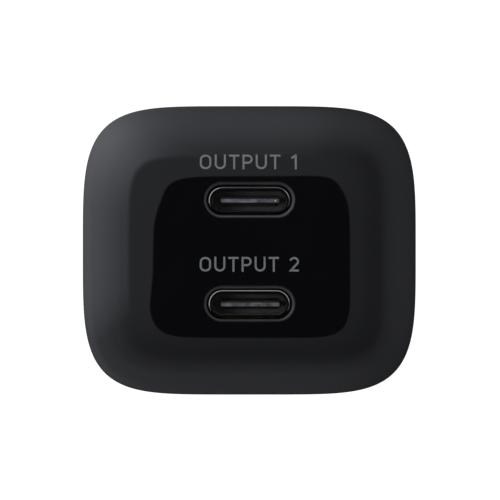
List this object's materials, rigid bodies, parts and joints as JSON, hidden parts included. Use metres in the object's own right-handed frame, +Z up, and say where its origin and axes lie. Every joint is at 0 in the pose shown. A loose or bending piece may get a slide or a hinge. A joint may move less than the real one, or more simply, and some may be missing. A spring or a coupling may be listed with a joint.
{
  "type": "usb wall charger",
  "caption": "Compact pillow-shaped gloss black wall charger with two stacked reversible charging ports and folding flat-blade prongs.",
  "frame": {"origin": "centre of the flat wall-side face of the rear cover, midway across and midway up the body", "axes": "+Y out of the wall-side face, the way the deployed blades point into the wall; the two ports face -Y; +Z up; +X to the right as seen from the port side"},
  "size_m": [0.039, 0.0592, 0.0338],
  "materials": {
    "gloss_black": "piano-gloss black injection-moulded polycarbonate",
    "satin_black": "fine satin black moulded plastic",
    "inner_black": "black moulded insulator",
    "nickel": "nickel-plated brass, coined edges",
    "steel": "drawn stainless sheet",
    "bronze": "phosphor bronze spring strip",
    "carrier_plastic": "glass-filled black plastic",
    "board_green": "solder-masked glass-epoxy board",
    "ferrite": "pressed ferrite, matt dark grey",
    "bobbin_plastic": "phenolic bobbin",
    "winding_tape": "yellow polyester tape over wire",
    "copper": "enamelled or bare copper",
    "capacitor_sleeve": "aluminium can in a dark shrink sleeve",
    "capacitor_can": "bare aluminium can",
    "film_capacitor": "yellow resin box",
    "disc_blue": "blue dipped resin",
    "disc_green": "dark green dipped resin",
    "chip_black": "moulded semiconductor package",
    "fuse_body": "shrink-sleeved fuse",
    "insulating_film": "translucent polyester insulating film",
    "thermal_pad": "silicone gap filler"
  },
  "bodies": {
    "housing": {"front_housing": "gloss_black", "rear_cover": "satin_black", "insulating_sleeve": "insulating_film", "bearing_cap": "carrier_plastic", "cap_screw_left": "steel", "cap_screw_right": "steel", "detent_spring": "steel", "contact_spring_left": "bronze", "contact_spring_right": "bronze", "port_pcb": "board_green", "main_pcb": "board_green", "upper_receptacle_shell": "steel", "lower_receptacle_shell": "steel", "upper_receptacle_tongue": "inner_black", "lower_receptacle_tongue": "inner_black", "transformer_core_upper": "ferrite", "transformer_core_lower": "ferrite", "transformer_bobbin": "bobbin_plastic", "transformer_winding": "winding_tape", "bulk_capacitor_a": "capacitor_sleeve", "bulk_capacitor_b": "capacitor_sleeve", "x_capacitor": "film_capacitor", "y_capacitor": "disc_blue", "choke_core": "ferrite", "choke_winding_left": "copper", "choke_winding_right": "copper", "fuse": "fuse_body", "thermistor": "disc_green", "varistor": "disc_blue", "bridge_rectifier": "chip_black", "flyback_controller": "chip_black", "controller_thermal_pad": "thermal_pad", "sync_rectifier": "chip_black", "optocoupler": "chip_black", "output_capacitor_a": "capacitor_can", "output_capacitor_b": "capacitor_can", "buck_inductor": "ferrite", "port_controller": "chip_black", "upper_port_switch": "chip_black", "lower_port_switch": "chip_black", "heat_spreader": "copper"},
    "prongs": {"blade_left": "nickel", "blade_right": "nickel", "blade_carrier": "carrier_plastic"}
  },
  "joints": [
    {"name": "prong_fold", "type": "hinge", "parent": "housing", "child": "prongs", "pos_m": [0, -0.0042, 0.00915], "axis": [1, 0, 0], "range_deg": [-90, 0]}
  ]
}
